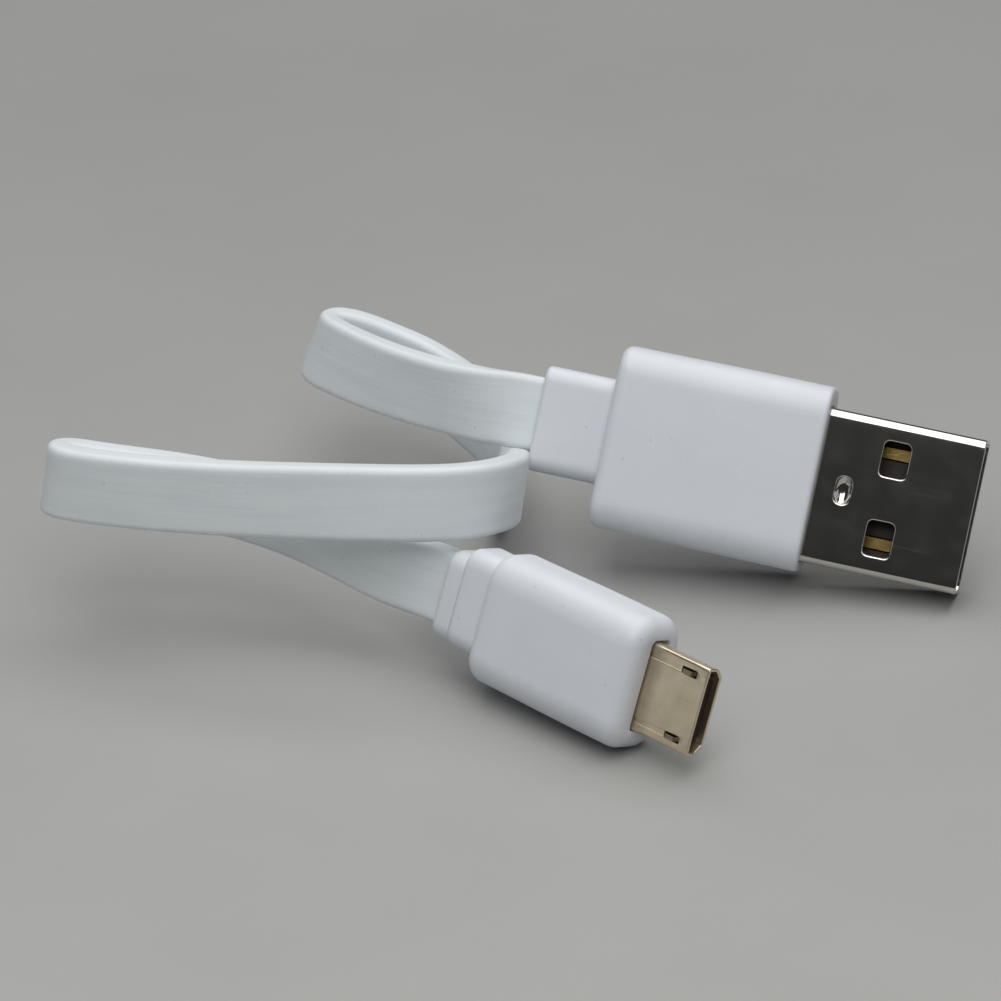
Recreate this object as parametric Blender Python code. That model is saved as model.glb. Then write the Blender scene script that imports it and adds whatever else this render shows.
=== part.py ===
# Short flat charging cable: a USB-A plug and a Micro-B plug on a white ribbon cord.
# Units are metres, +Z is up, and the floor is z = 0. Each plug is built in its own
# frame: +X towards the tip from the housing's front face, +Y along the plug's width,
# +Z out of the broad face with the latch slots or windows. An empty then places it.

import math

import bmesh
import bpy
from mathutils import Vector

# Clearances
fit = 0.00006  # between moulded or seated neighbours
slip = 0.0001  # round a piece that slides or bends

# Ribbon cord
ribbon_width = 0.0058
ribbon_thick = 0.0018
ribbon_step = 0.0020  # spacing of the points that the ribbon follows
core_count = 4
core_pitch = 0.0011
core_radius = 0.00042

# USB-A plug
a_shell_width = 0.0120
a_shell_height = 0.0045
a_shell_wall = 0.0003
a_shell_exposed = 0.0122
a_shell_buried = 0.0062
a_window = (0.0021, 0.00272)  # along the plug, across the plug
a_window_from_tip = 0.00657
a_window_spacing = 0.00616
a_dimple = (0.0012, 0.0021)
a_dimple_x = 0.0022
a_tongue_thick = 0.0018
a_tongue_setback = 0.0007
a_contact_size = (0.0010, 0.00028)  # width, thickness
a_contact_sides = (-0.0035, -0.0010, 0.0010, 0.0035)
a_contact_setbacks = (0.0011, 0.0021, 0.0021, 0.0011)  # from the shell's tip
a_tail = 0.0022  # solder tail behind the insulator
a_housing_size = (0.0165, 0.0144, 0.0075)
a_housing_offset = 0.00035  # the housing sits a little off the shell's centre line
a_housing_wall = 0.0008
a_housing_radius = 0.0022
a_relief_size = (0.0055, 0.0082, 0.0038)
a_relief_offset = 0.00055
a_ribbon_offset = 0.00075

# Micro-B plug
b_shell_width = 0.00685
b_shell_height = 0.0018
b_shell_wall = 0.00025
b_shell_chamfer = 0.00065
b_shell_exposed = 0.0052
b_shell_buried = 0.0046
b_slot = (0.0015, 0.00055)
b_slot_from_tip = 0.0017
b_latch_side = 0.00255
b_latch_size = (0.00036, 0.00024)  # width, thickness
b_latch_hook = 0.0009  # length of the hook along the plug
b_hook_proud = 0.0003
b_contact_pitch = 0.00065
b_contact_size = (0.00025, 0.00016)
b_tail = 0.0018
b_housing_size = (0.0151, 0.0104, 0.0059)
b_housing_start = 0.0002  # the front face stands this far behind the plug's zero
b_housing_lift = 0.0002
b_housing_wall = 0.0008
b_housing_radius = 0.0022
b_block_size = (0.0029, 0.0078, 0.0044)
b_block_offset = 0.0004
b_collar_size = (0.0018, 0.0069, 0.0038)
b_collar_offset = 0.00005
b_ribbon_offset = 0.00015

# Where the two plugs lie: position of the housing's front face, then yaw, pitch and roll
centre_shift = Vector((-0.01619, 0.00844, 0.0))  # puts the origin under the middle of the plugs
a_place = Vector((0.02426, 0.00362, 0.00773))
a_turn = (63.2, 7.58, -11.74)
b_place = Vector((0.01116, -0.02461, 0.00532))
b_turn = (70.4, 2.22, -43.05)

# The ribbon's route between the two strain reliefs, before centre_shift
route = [
    (-0.0011, 0.0100, 0.0113), (-0.0033, 0.0114, 0.0112), (-0.0056, 0.0129, 0.0111),
    (-0.0082, 0.0149, 0.0110), (-0.0106, 0.0171, 0.0109), (-0.0125, 0.0192, 0.0108),
    (-0.0138, 0.0209, 0.0107), (-0.0142, 0.0222, 0.0106), (-0.0136, 0.0232, 0.0104),
    (-0.0123, 0.0235, 0.0101), (-0.0107, 0.0234, 0.0096), (-0.0089, 0.0230, 0.0090),
    (-0.0065, 0.0221, 0.0083), (-0.0040, 0.0211, 0.0071), (-0.0014, 0.0202, 0.0051),
    (0.0001, 0.0187, 0.0038), (0.0006, 0.0158, 0.0032), (0.0005, 0.0126, 0.0035),
    (0.0003, 0.0094, 0.0045), (0.0004, 0.0058, 0.0062), (0.0008, 0.0020, 0.0083),
    (0.0010, -0.0018, 0.0103), (0.0006, -0.0054, 0.0117), (-0.0010, -0.0082, 0.0126),
    (-0.0034, -0.0097, 0.0130), (-0.0065, -0.0101, 0.0131), (-0.0098, -0.0100, 0.0131),
    (-0.0135, -0.0096, 0.0130), (-0.0180, -0.0087, 0.0127), (-0.0225, -0.0078, 0.0125),
    (-0.0262, -0.0070, 0.0124), (-0.0290, -0.0062, 0.0123), (-0.0313, -0.0054, 0.0122),
    (-0.0329, -0.0046, 0.0121), (-0.0337, -0.0038, 0.0120), (-0.0336, -0.0029, 0.0118),
    (-0.0326, -0.0022, 0.0115), (-0.0308, -0.0018, 0.0110), (-0.0281, -0.0016, 0.0105),
    (-0.0240, -0.0015, 0.0098), (-0.0202, -0.0018, 0.0091), (-0.0160, -0.0028, 0.0081),
    (-0.0123, -0.0045, 0.0071), (-0.0090, -0.0064, 0.0062),
]
lean_base = 0.14  # how far the ribbon's upper edge leans towards +X, as a slope
lean_loop = (0.024, 0.009, 0.20)  # extra lean at the rear loop: where, how long, how much
lean_front = (0.072, 0.016, 0.20)  # the same along the front run, towards +Y
plug_grip = 0.009  # length over which the ribbon turns from a plug's roll to its own


def clear_scene():
    for obj in list(bpy.data.objects):
        bpy.data.objects.remove(obj)


def new_collection(name):
    made = bpy.data.collections.new(name)
    bpy.context.scene.collection.children.link(made)
    return made


def new_material(name, colour, roughness, metallic=0.0):
    made = bpy.data.materials.new(name)
    made.use_nodes = True
    shader = made.node_tree.nodes["Principled BSDF"]
    shader.inputs["Base Color"].default_value = (*colour, 1.0)
    shader.inputs["Roughness"].default_value = roughness
    shader.inputs["Metallic"].default_value = metallic
    return made


def new_empty(name, place, turn):
    empty = bpy.data.objects.new(name, None)
    empty.location = place + centre_shift
    empty.rotation_euler = [math.radians(angle) for angle in turn]
    parts.objects.link(empty)
    return empty


def add_object(name, mesh, parent, material=None, place=(0, 0, 0)):
    """A cutter is an object with no material: it is hidden and drawn as wire."""
    obj = bpy.data.objects.new(name, mesh)
    obj.parent = parent
    obj.location = place
    if material:
        obj.data.materials.append(material)
        parts.objects.link(obj)
    else:
        obj.hide_render = True
        obj.display_type = "WIRE"
        cutters.objects.link(obj)
    return obj


def long_edges(bm, axis, keep=lambda middle: True):
    found = []
    for edge in bm.edges:
        run = (edge.verts[0].co - edge.verts[1].co).normalized()
        if abs(run[axis]) > 0.99 and keep((edge.verts[0].co + edge.verts[1].co) / 2):
            found.append(edge)
    return found


def block_mesh(name, xs, ys, zs, radius=0.0, axis=0, segments=4, end_radius=0.0, chamfer=0.0):
    """A box between the given limits. radius rounds the edges along axis, end_radius the rims
    of its two ends, and chamfer cuts the two lower edges along X."""
    bm = bmesh.new()
    bmesh.ops.create_cube(bm, size=1.0)
    size = Vector((xs[1] - xs[0], ys[1] - ys[0], zs[1] - zs[0]))
    middle = Vector((xs[1] + xs[0], ys[1] + ys[0], zs[1] + zs[0])) / 2
    for vert in bm.verts:
        vert.co = Vector(size[i] * vert.co[i] for i in range(3))
    if chamfer:
        lower = long_edges(bm, 0, lambda point: point.z < 0)
        bmesh.ops.bevel(bm, geom=lower, offset=chamfer, segments=1, affect="EDGES")
    if radius:
        edges = long_edges(bm, axis, lambda point: not chamfer or point.z > 0)
        bmesh.ops.bevel(bm, geom=edges, offset=radius, segments=segments, profile=0.5, affect="EDGES")
    if end_radius:
        ends = [f for f in bm.faces if abs(f.normal[axis]) > 0.99]
        rims = list({edge for face in ends for edge in face.edges})
        bmesh.ops.bevel(bm, geom=rims, offset=end_radius, segments=3, profile=0.5, affect="EDGES")
    for vert in bm.verts:
        vert.co += middle
    mesh = bpy.data.meshes.new(name)
    bm.to_mesh(mesh)
    bm.free()
    mesh.shade_smooth()
    mesh.set_sharp_from_angle(angle=math.radians(35))
    return mesh


def span(middle, size):
    return (middle - size / 2, middle + size / 2)


def boolean(target, other, operation):
    step = target.modifiers.new(operation.lower() + "_" + other.name, "BOOLEAN")
    step.operation = operation
    step.object = other


def cut_box(target, label, xs, ys, zs, **shape):
    mesh = block_mesh(target.name + "_" + label, xs, ys, zs, **shape)
    boolean(target, add_object(mesh.name, mesh, target.parent), "DIFFERENCE")


def join_box(target, label, xs, ys, zs, **shape):
    mesh = block_mesh(target.name + "_" + label, xs, ys, zs, **shape)
    boolean(target, add_object(mesh.name, mesh, target.parent), "UNION")


def core_wire(name, start, end, parent, material):
    """One insulated core, easing from the ribbon's end to its solder tail."""
    start, end = Vector(start), Vector(end)
    curve = bpy.data.curves.new(name, "CURVE")
    curve.dimensions = "3D"
    curve.bevel_depth = core_radius
    curve.bevel_resolution = 2
    curve.use_fill_caps = True
    line = curve.splines.new("POLY")
    steps = 8
    line.points.add(steps)
    for i in range(steps + 1):
        share = i / steps
        ease = min(max((share - 0.2) / 0.6, 0.0), 1.0)
        ease = ease * ease * (3 - 2 * ease)
        side = start.lerp(end, ease)
        line.points[i].co = (start.x + (end.x - start.x) * share, side.y, side.z, 1.0)
    add_object(name, curve, parent, material)


def ribbon_passage(target, ys_middle, deep, far, width_gap):
    """The flat slot that the ribbon passes through."""
    cut_box(
        target, "slot", (far, deep),
        span(ys_middle, ribbon_width + 2 * width_gap),
        span(0, ribbon_thick + 2 * width_gap),
        radius=ribbon_thick / 2 - fit, segments=3,
    )


# ---- collections and materials
clear_scene()
parts = new_collection("charging_cable")
cutters = new_collection("cutters")
white = new_material("white_plastic", (0.80, 0.82, 0.84), 0.38)
cord_white = new_material("ribbon_jacket", (0.74, 0.78, 0.78), 0.45)
milky = new_material("inner_mould_plastic", (0.70, 0.70, 0.66), 0.6)
nickel = new_material("nickel_plate", (0.62, 0.61, 0.58), 0.16, 1.0)
champagne = new_material("champagne_plate", (0.62, 0.56, 0.44), 0.26, 1.0)
gold = new_material("gold_plate", (0.83, 0.62, 0.25), 0.25, 1.0)
spring_steel = new_material("spring_steel", (0.50, 0.49, 0.47), 0.3, 1.0)
dark_plastic = new_material("dark_plastic", (0.02, 0.015, 0.018), 0.5)
core_colours = [
    new_material("core_" + label, colour, 0.5)
    for label, colour in (
        ("red", (0.60, 0.03, 0.03)), ("white", (0.80, 0.80, 0.80)),
        ("green", (0.03, 0.35, 0.08)), ("black", (0.02, 0.02, 0.02)),
    )
]
core_labels = ("power", "data_minus", "data_plus", "ground")


# ---- USB-A plug
plug_a = new_empty("usb_a_plug", a_place, a_turn)
a_inside = (a_shell_width - 2 * a_shell_wall, a_shell_height - 2 * a_shell_wall)
a_mould_front = -0.0013
a_mould_back = -a_housing_size[0] + 0.0016
a_tail_end = -a_shell_buried - a_tail
a_ribbon_end = a_tail_end - 0.0040


def usb_a_shell():
    xs = (-a_shell_buried, a_shell_exposed)
    mesh = block_mesh(
        "usb_a_shell", xs, span(0, a_shell_width), span(0, a_shell_height), radius=0.0006
    )
    shell = add_object("usb_a_shell", mesh, plug_a, nickel)
    cut_box(
        shell, "bore", (xs[0] - 0.001, xs[1] + 0.001), span(0, a_inside[0]), span(0, a_inside[1]),
        radius=0.0003, segments=2,
    )
    window_x = a_shell_exposed - a_window_from_tip
    for i, side in enumerate((-1, 1)):
        cut_box(
            shell, f"window_{i}", span(window_x, a_window[0]),
            span(side * a_window_spacing / 2, a_window[1]), span(0, a_shell_height + 0.002),
            radius=0.0004, axis=2, segments=3,
        )
    cut_box(
        shell, "dimple", span(a_dimple_x, a_dimple[0]), span(0, a_dimple[1]),
        (0.001, a_shell_height), radius=0.00055, axis=2, segments=4,
    )


def usb_a_insulator():
    width = a_inside[0] - 2 * fit
    half = a_inside[1] / 2 - fit
    xs = (-a_shell_buried + fit, -0.0006)
    mesh = block_mesh("usb_a_insulator", xs, span(0, width), (-half, half), radius=0.0003, segments=2)
    insulator = add_object("usb_a_insulator", mesh, plug_a, dark_plastic)
    join_box(
        insulator, "tongue", (xs[1] - 0.001, a_shell_exposed - a_tongue_setback),
        span(0, width), (-half, -half + a_tongue_thick), radius=0.0002, segments=2,
    )
    groove_top = -half + a_tongue_thick + fit
    floor = groove_top - fit - a_contact_size[1] - fit
    for i, side in enumerate(a_contact_sides):
        tip = a_shell_exposed - a_contact_setbacks[i]
        cut_box(
            insulator, f"groove_{i}", (xs[0] - 0.001, tip + fit),
            span(side, a_contact_size[0] + 2 * fit), (floor, groove_top),
        )
        mesh = block_mesh(
            f"usb_a_contact_{i + 1}", (a_tail_end, tip), span(side, a_contact_size[0]),
            (floor + fit, floor + fit + a_contact_size[1]), radius=0.00008, segments=1,
        )
        add_object(mesh.name, mesh, plug_a, gold)
        first = a_ribbon_offset + core_pitch * (i - (core_count - 1) / 2)
        core_wire(
            f"usb_a_core_{core_labels[i]}", (a_ribbon_end + fit, first, 0),
            (a_tail_end - fit, side, floor), plug_a, core_colours[i],
        )


def usb_a_inner_mould():
    wall = a_housing_wall + fit
    ys = span(a_housing_offset, a_housing_size[1] - 2 * wall)
    zs = span(0, a_housing_size[2] - 2 * wall)
    mesh = block_mesh("usb_a_inner_mould", (a_mould_back, a_mould_front), ys, zs, radius=0.0012)
    mould = add_object("usb_a_inner_mould", mesh, plug_a, milky)
    cut_box(
        mould, "shell_pocket", (-a_shell_buried - fit, 0.001),
        span(0, a_shell_width + 2 * fit), span(0, a_shell_height + 2 * fit), radius=0.0006,
    )
    cut_box(
        mould, "solder_pocket", (a_ribbon_end - fit, -a_shell_buried + 0.001),
        span(0, 0.0100), span(0, 0.0030),
    )
    ribbon_passage(mould, a_ribbon_offset, a_ribbon_end + 0.001, a_mould_back - 0.001, slip)


def usb_a_housing():
    back = -a_housing_size[0]
    mesh = block_mesh(
        "usb_a_housing", (back, 0), span(a_housing_offset, a_housing_size[1]),
        span(0, a_housing_size[2]), radius=a_housing_radius, segments=7, end_radius=0.0006,
    )
    housing = add_object("usb_a_housing", mesh, plug_a, white)
    inside = (a_housing_size[1] - 2 * a_housing_wall, a_housing_size[2] - 2 * a_housing_wall)
    cut_box(
        housing, "cavity", (a_mould_back - fit, a_mould_front + fit),
        span(a_housing_offset, inside[0]), span(0, inside[1]), radius=0.0012,
    )
    cut_box(
        housing, "front_mouth", (-a_shell_buried - fit, 0.001),
        span(0, a_shell_width + 2 * fit), span(0, a_shell_height + 2 * fit), radius=0.0006,
    )
    cut_box(
        housing, "rear_mouth", (back - 0.001, a_mould_back + 0.001),
        span(a_ribbon_offset, a_neck[0] + 2 * fit), span(0, a_neck[1] + 2 * fit), radius=0.0008,
    )


a_neck = (0.0071, 0.0030)


def usb_a_strain_relief():
    front = -a_housing_size[0] - fit
    ys = span(a_relief_offset, a_relief_size[1])
    mesh = block_mesh(
        "usb_a_strain_relief", (front - a_relief_size[0], front), ys, span(0, a_relief_size[2]),
        radius=0.0011, segments=5, end_radius=0.0003,
    )
    relief = add_object("usb_a_strain_relief", mesh, plug_a, white)
    join_box(
        relief, "neck", (front - 0.001, a_mould_back - fit),
        span(a_ribbon_offset, a_neck[0]), span(0, a_neck[1]), radius=0.0008,
    )
    ribbon_passage(relief, a_ribbon_offset, 0.0, front - a_relief_size[0] - 0.001, slip)


# ---- Micro-B plug
plug_b = new_empty("micro_b_plug", b_place, b_turn)
b_inside = (b_shell_width - 2 * b_shell_wall, b_shell_height - 2 * b_shell_wall)
b_inner_chamfer = b_shell_chamfer - b_shell_wall * math.tan(math.radians(22.5))
b_mould_front = -b_housing_start - 0.0012
b_mould_back = -b_housing_start - b_housing_size[0] + 0.0015
b_tail_end = -b_shell_buried - b_tail
b_ribbon_end = b_tail_end - 0.0044
b_slot_x = b_shell_exposed - b_slot_from_tip
b_block_front = -0.0008
b_neck = (0.0071, 0.0030)
b_latch_z = (0.00026, 0.00026 + b_latch_size[1])
b_hinge_x = -0.0034


def micro_b_shell():
    xs = (-b_shell_buried, b_shell_exposed)
    mesh = block_mesh(
        "micro_b_shell", xs, span(0, b_shell_width), span(0, b_shell_height),
        radius=0.0003, segments=3, chamfer=b_shell_chamfer,
    )
    shell = add_object("micro_b_shell", mesh, plug_b, champagne)
    cut_box(
        shell, "bore", (xs[0] - 0.001, xs[1] + 0.001), span(0, b_inside[0]),
        span(0, b_inside[1]), chamfer=b_inner_chamfer,
    )
    for i, side in enumerate((-1, 1)):
        cut_box(
            shell, f"slot_{i}", span(b_slot_x, b_slot[0]), span(side * b_latch_side, b_slot[1]),
            (b_inside[1] / 4, b_shell_height),
        )


def micro_b_insulator():
    width, half = b_inside[0] - 2 * fit, b_inside[1] / 2 - fit
    xs = (-b_shell_buried + fit, b_block_front)
    mesh = block_mesh(
        "micro_b_insulator", xs, span(0, width), (-half, half), chamfer=b_inner_chamfer
    )
    insulator = add_object("micro_b_insulator", mesh, plug_b, dark_plastic)
    groove_top = -0.00016
    join_box(
        insulator, "tongue", (xs[1] - 0.001, b_shell_exposed - 0.0006), span(0, 0.0044),
        (-half, groove_top - fit),
    )
    floor = groove_top - 2 * fit - b_contact_size[1]
    for i in range(5):
        side = (i - 2) * b_contact_pitch
        tip = b_shell_exposed - 0.0009
        cut_box(
            insulator, f"groove_{i}", (xs[0] - 0.001, tip + fit),
            span(side, b_contact_size[0] + 2 * fit), (floor, groove_top),
        )
        mesh = block_mesh(
            f"micro_b_contact_{i + 1}", (b_tail_end, tip), span(side, b_contact_size[0]),
            (floor + fit, floor + fit + b_contact_size[1]),
        )
        add_object(mesh.name, mesh, plug_b, gold)
    top = floor + fit + b_contact_size[1] + core_radius + fit
    below = floor - core_radius
    ends = ((-2, top), (-1, below), (0, top), (2, top))
    for i, (place, height) in enumerate(ends):
        first = b_ribbon_offset + core_pitch * (i - (core_count - 1) / 2)
        core_wire(
            f"micro_b_core_{core_labels[i]}", (b_ribbon_end + fit, first, 0),
            (b_tail_end + b_tail / 2, place * b_contact_pitch, height), plug_b, core_colours[i],
        )
    for i, side in enumerate((-1, 1)):
        cut_box(
            insulator, f"latch_pocket_{i}", (b_hinge_x - 0.0004, 0.0),
            span(side * b_latch_side, b_latch_size[0] + 2 * slip),
            (b_latch_z[0] - 0.00026, half + 0.001),
        )


def micro_b_latches():
    """Each latch is a leaf spring with a hook that stands out through its slot."""
    middle = (b_latch_z[0] + b_latch_z[1]) / 2
    half = b_latch_size[1] / 2
    reach = b_slot_x + b_latch_hook / 2 - b_hinge_x
    for i, (label, side) in enumerate((("left", 1), ("right", -1))):
        place = (b_hinge_x, side * b_latch_side, middle)
        mesh = block_mesh(
            f"micro_b_latch_{label}", (-0.00025, reach), span(0, b_latch_size[0]), (-half, half)
        )
        latch = add_object(mesh.name, mesh, plug_b, spring_steel, place)
        hook = block_mesh(
            mesh.name + "_hook", (reach - b_latch_hook, reach), span(0, b_latch_size[0]),
            (-half, b_shell_height / 2 + b_hook_proud - middle), radius=0.0001, axis=1, segments=1,
        )
        boolean(latch, add_object(hook.name, hook, plug_b, None, place), "UNION")


def micro_b_inner_mould():
    wall = b_housing_wall + fit
    ys = span(0, b_housing_size[1] - 2 * wall)
    zs = span(b_housing_lift, b_housing_size[2] - 2 * wall)
    mesh = block_mesh("micro_b_inner_mould", (b_mould_back, b_mould_front), ys, zs, radius=0.0012)
    mould = add_object("micro_b_inner_mould", mesh, plug_b, milky)
    cut_box(
        mould, "shell_pocket", (-b_shell_buried - fit, 0.001),
        span(0, b_shell_width + 2 * fit), span(0, b_shell_height + 2 * fit), radius=0.0003,
    )
    cut_box(
        mould, "solder_pocket", (b_ribbon_end - fit, -b_shell_buried + 0.001),
        span(b_ribbon_offset / 2, 0.0056), (-0.00140, 0.00100),
    )
    ribbon_passage(mould, b_ribbon_offset, b_ribbon_end + 0.001, b_mould_back - 0.001, slip)


def micro_b_housing():
    front = -b_housing_start
    back = front - b_housing_size[0]
    mesh = block_mesh(
        "micro_b_housing", (back, front), span(0, b_housing_size[1]),
        span(b_housing_lift, b_housing_size[2]), radius=b_housing_radius, segments=7,
        end_radius=0.0006,
    )
    housing = add_object("micro_b_housing", mesh, plug_b, white)
    cut_box(
        housing, "cavity", (b_mould_back - fit, b_mould_front + fit),
        span(0, b_housing_size[1] - 2 * b_housing_wall),
        span(b_housing_lift, b_housing_size[2] - 2 * b_housing_wall), radius=0.0012,
    )
    cut_box(
        housing, "front_mouth", (b_mould_front - 0.001, 0.001),
        span(0, b_shell_width + 0.0004), span(0, b_shell_height + 0.0004), radius=0.0004,
    )
    cut_box(
        housing, "rear_mouth", (back - 0.001, b_mould_back + 0.001),
        span(b_ribbon_offset, b_neck[0] + 2 * fit), span(0, b_neck[1] + 2 * fit), radius=0.0008,
    )


def micro_b_strain_relief():
    front = -b_housing_start - b_housing_size[0] - fit
    step = front - b_block_size[0]
    end = step - b_collar_size[0]
    mesh = block_mesh(
        "micro_b_strain_relief", (step, front), span(b_block_offset, b_block_size[1]),
        span(0, b_block_size[2]), radius=0.0012, segments=5, end_radius=0.0003,
    )
    relief = add_object("micro_b_strain_relief", mesh, plug_b, white)
    join_box(
        relief, "collar", (end, step + 0.001), span(b_collar_offset, b_collar_size[1]),
        span(0, b_collar_size[2]), radius=0.0012, segments=5, end_radius=0.0003,
    )
    join_box(
        relief, "neck", (front - 0.001, b_mould_back - fit),
        span(b_ribbon_offset, b_neck[0]), span(0, b_neck[1]), radius=0.0008,
    )
    ribbon_passage(relief, b_ribbon_offset, 0.0, end - 0.001, slip)
    return end


# ---- Ribbon cord
def plug_points(plug, offset, xs):
    return [plug.matrix_world @ Vector((x, offset, 0)) for x in xs]


def smooth_path(points, step):
    """Points every step along a centripetal Catmull-Rom curve through the given ones."""
    padded = [2 * points[0] - points[1], *points, 2 * points[-1] - points[-2]]
    fine = []
    for p0, p1, p2, p3 in zip(padded, padded[1:], padded[2:], padded[3:]):
        t1 = math.sqrt((p1 - p0).length)
        t2 = t1 + math.sqrt((p2 - p1).length)
        t3 = t2 + math.sqrt((p3 - p2).length)
        for i in range(24):
            t = t1 + (t2 - t1) * i / 24
            a1 = p0.lerp(p1, t / t1)
            a2 = p1.lerp(p2, (t - t1) / (t2 - t1))
            a3 = p2.lerp(p3, (t - t2) / (t3 - t2))
            b1 = a1.lerp(a2, t / t2)
            b2 = a2.lerp(a3, (t - t1) / (t3 - t1))
            fine.append(b1.lerp(b2, (t - t1) / (t2 - t1)))
    fine.append(points[-1].copy())
    run = [0.0]
    for first, second in zip(fine, fine[1:]):
        run.append(run[-1] + (second - first).length)
    count = round(run[-1] / step)
    made, i = [], 0
    for k in range(count + 1):
        goal = run[-1] * k / count
        while i < len(run) - 2 and run[i + 1] < goal:
            i += 1
        made.append(fine[i].lerp(fine[i + 1], (goal - run[i]) / (run[i + 1] - run[i])))
    return made, run[-1]


def ease(share):
    share = min(max(share, 0.0), 1.0)
    return share * share * (3 - 2 * share)


def edge_direction(along, total, gripped):
    """Which way the ribbon's upper edge points, this far along it."""
    extra = [
        amount * math.exp(-(((along - gripped - where) / reach) ** 2))
        for where, reach, amount in (lean_loop, lean_front)
    ]
    free = Vector((lean_base + extra[0], extra[1], 1)).normalized()
    near_a = ease(1 - (along - gripped) / plug_grip)
    near_b = ease(1 - (total - gripped - along) / plug_grip)
    a_side = plug_a.matrix_world.to_3x3() @ Vector((0, 1, 0))
    b_side = plug_b.matrix_world.to_3x3() @ Vector((0, 1, 0))
    return free * (1 - near_a - near_b) + a_side * near_a + b_side * near_b


def ribbon_cord(a_end, b_end):
    inside_a = plug_points(plug_a, a_ribbon_offset, (a_ribbon_end, (a_ribbon_end + a_end) / 2, a_end))
    outside_a = plug_points(plug_a, a_ribbon_offset, (a_end - 0.0016,))
    inside_b = plug_points(plug_b, b_ribbon_offset, (b_end, (b_ribbon_end + b_end) / 2, b_ribbon_end))
    outside_b = plug_points(plug_b, b_ribbon_offset, (b_end - 0.0012,))
    between = [Vector(point) + centre_shift for point in route]
    points, total = smooth_path(inside_a + outside_a + between + outside_b + inside_b, ribbon_step)
    gripped = a_ribbon_end - a_end
    curve = bpy.data.curves.new("ribbon_cord", "CURVE")
    curve.dimensions = "3D"
    curve.twist_mode = "Z_UP"
    curve.extrude = (ribbon_width - ribbon_thick) / 2
    curve.bevel_depth = ribbon_thick / 2
    curve.bevel_resolution = 2
    curve.use_fill_caps = True
    line = curve.splines.new("POLY")
    line.points.add(len(points) - 1)
    for i, point in enumerate(points):
        line.points[i].co = (*point, 1.0)
        run = (points[min(i + 1, len(points) - 1)] - points[max(i - 1, 0)]).normalized()
        upright = (Vector((0, 0, 1)) - run * run.z).normalized()
        wanted = edge_direction(total * i / (len(points) - 1), total, gripped)
        wanted = (wanted - run * wanted.dot(run)).normalized()
        turn = math.atan2(run.dot(upright.cross(wanted)), upright.dot(wanted))
        line.points[i].tilt = turn
    add_object("ribbon_cord", curve, None, cord_white)
    return total


usb_a_shell()
usb_a_insulator()
usb_a_inner_mould()
usb_a_housing()
usb_a_strain_relief()
micro_b_shell()
micro_b_insulator()
micro_b_latches()
micro_b_inner_mould()
micro_b_housing()
b_relief_end = micro_b_strain_relief()
bpy.context.view_layer.update()
ribbon_length = ribbon_cord(-a_housing_size[0] - fit - a_relief_size[0], b_relief_end)
print(f"ribbon length {ribbon_length * 1000:.1f} mm")
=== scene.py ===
import math

import bmesh
import bpy
from mathutils import Euler, Matrix, Vector


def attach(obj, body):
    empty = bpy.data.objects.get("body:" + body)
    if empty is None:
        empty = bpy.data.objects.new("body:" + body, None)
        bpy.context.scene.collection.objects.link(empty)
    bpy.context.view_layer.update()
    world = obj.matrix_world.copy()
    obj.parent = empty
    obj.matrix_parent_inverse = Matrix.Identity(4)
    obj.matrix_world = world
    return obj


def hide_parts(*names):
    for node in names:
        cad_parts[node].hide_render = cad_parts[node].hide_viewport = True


# Flat white charging cable: a large plug and a small plug on a short ribbon cord
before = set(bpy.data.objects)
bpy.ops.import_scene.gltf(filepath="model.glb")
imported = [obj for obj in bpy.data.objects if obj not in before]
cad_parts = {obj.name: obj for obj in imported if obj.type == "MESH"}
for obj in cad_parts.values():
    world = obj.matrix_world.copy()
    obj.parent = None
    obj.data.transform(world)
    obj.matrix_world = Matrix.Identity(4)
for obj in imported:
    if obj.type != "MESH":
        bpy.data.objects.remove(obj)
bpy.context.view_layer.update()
mm = 0.001
print("frame loaded:", len(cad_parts), "nodes")

# each plug has its own axes: X to its tip, Y across it, Z out of its broad face
largePlug = {"place": (0.00807, 0.01206, 0.00773), "turn": (63.2, 7.58, -11.74)}
smallPlug = {"place": (-0.00503, -0.01617, 0.00532), "turn": (70.4, 2.22, -43.05)}


def plugMatrix(plug):
    turn = Euler([math.radians(angle) for angle in plug["turn"]])
    return Matrix.Translation(plug["place"]) @ turn.to_matrix().to_4x4()


# shape helpers
sharpAngle = math.radians(42)
cutEdgeAngle = math.radians(55)


def quarterTurn(steps):
    return [math.radians(90 * i / steps) for i in range(steps + 1)]


def roundedLoop(width, height, radius, centre=(0, 0), steps=7, crown=0.0, partLine=0.0):
    # one closed outline across a plug, always with the same number of points for given steps
    halfWidth, halfHeight = width / 2, height / 2
    radius = min(radius, halfWidth * 0.98, halfHeight * 0.98)
    flatWidth, flatHeight = halfWidth - radius, halfHeight - radius
    notch = min(0.07 * mm, 0.3 * flatHeight)  # half the width of the part line's groove
    high = 0.85 * flatHeight
    wideStops = [0.9, 0.5, 0.0, -0.5, -0.9]
    sideStops = [(high, 0), (notch, 0), (0, partLine), (-notch, 0), (-high, 0)]
    points = []
    for corner in range(4):
        signY = 1 if corner in (0, 3) else -1
        signZ = 1 if corner in (0, 1) else -1
        for step in range(steps + 1):
            angle = math.radians(90 * (corner + step / steps))
            y = signY * flatWidth + radius * math.cos(angle)
            z = signZ * flatHeight + radius * math.sin(angle)
            points.append((y, z))
        if corner in (0, 2):
            points += [(signY * flatWidth * stop, signZ * halfHeight) for stop in wideStops]
        else:
            points += [(signY * (halfWidth - depth), signZ * z) for z, depth in sideStops]
    loop = []
    for y, z in points:
        bulge = crown * (1 - (y / halfWidth) ** 2) * z / halfHeight
        loop.append((y + centre[0], z + bulge + centre[1]))
    return loop


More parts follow.
